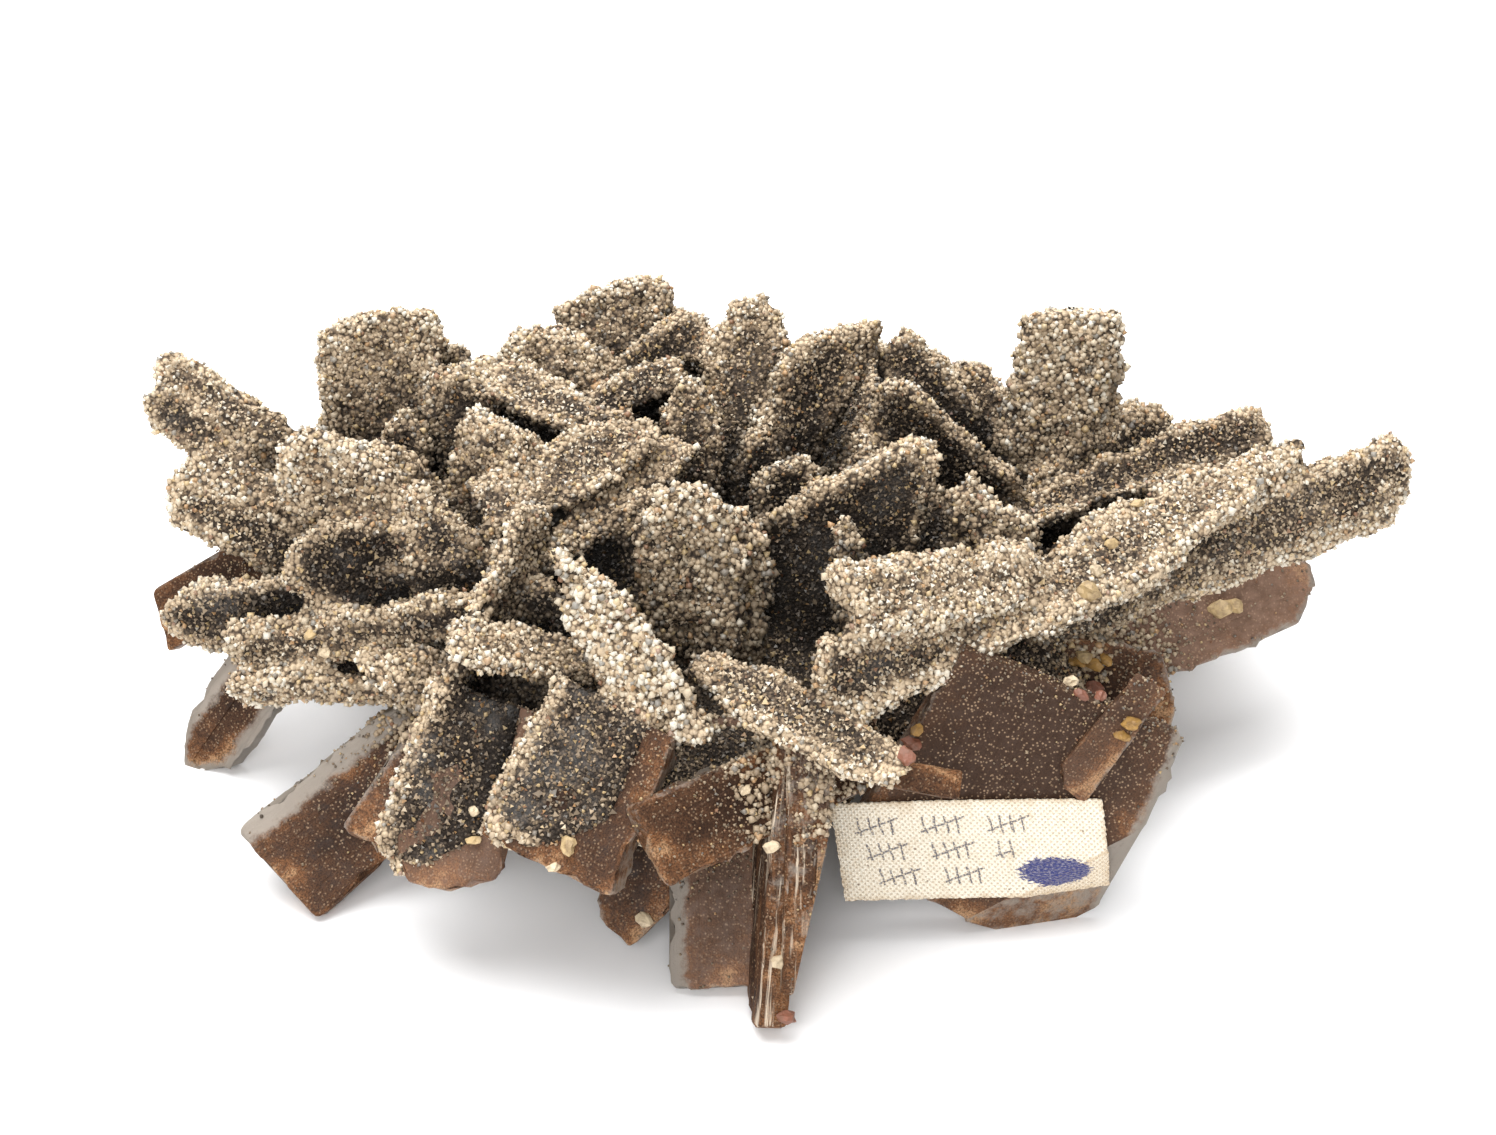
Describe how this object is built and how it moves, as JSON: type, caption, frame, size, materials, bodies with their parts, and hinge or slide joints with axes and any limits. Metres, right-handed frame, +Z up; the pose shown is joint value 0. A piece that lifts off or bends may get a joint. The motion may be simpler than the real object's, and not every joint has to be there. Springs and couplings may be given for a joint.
{
  "type": "hourglass selenite crystal cluster",
  "caption": "Spreading cluster of bladed gypsum crystals, sand-crusted above and bare and brown below, with a strip of cloth tape on its front.",
  "frame": {"origin": "on the ground under the middle of the whole cluster's box", "axes": "+X along the cluster's length to the right as the label is read, +Y to its back, +Z up"},
  "size_m": [0.1592, 0.1138, 0.0509],
  "materials": {
    "gypsum": "sand grains over brown translucent crystal, glossy where bare",
    "cloth_tape": "matte woven cloth, yellowed"
  },
  "bodies": {
    "root": {"crystal_cluster": "gypsum", "cloth_label": "cloth_tape"}
  },
  "joints": []
}
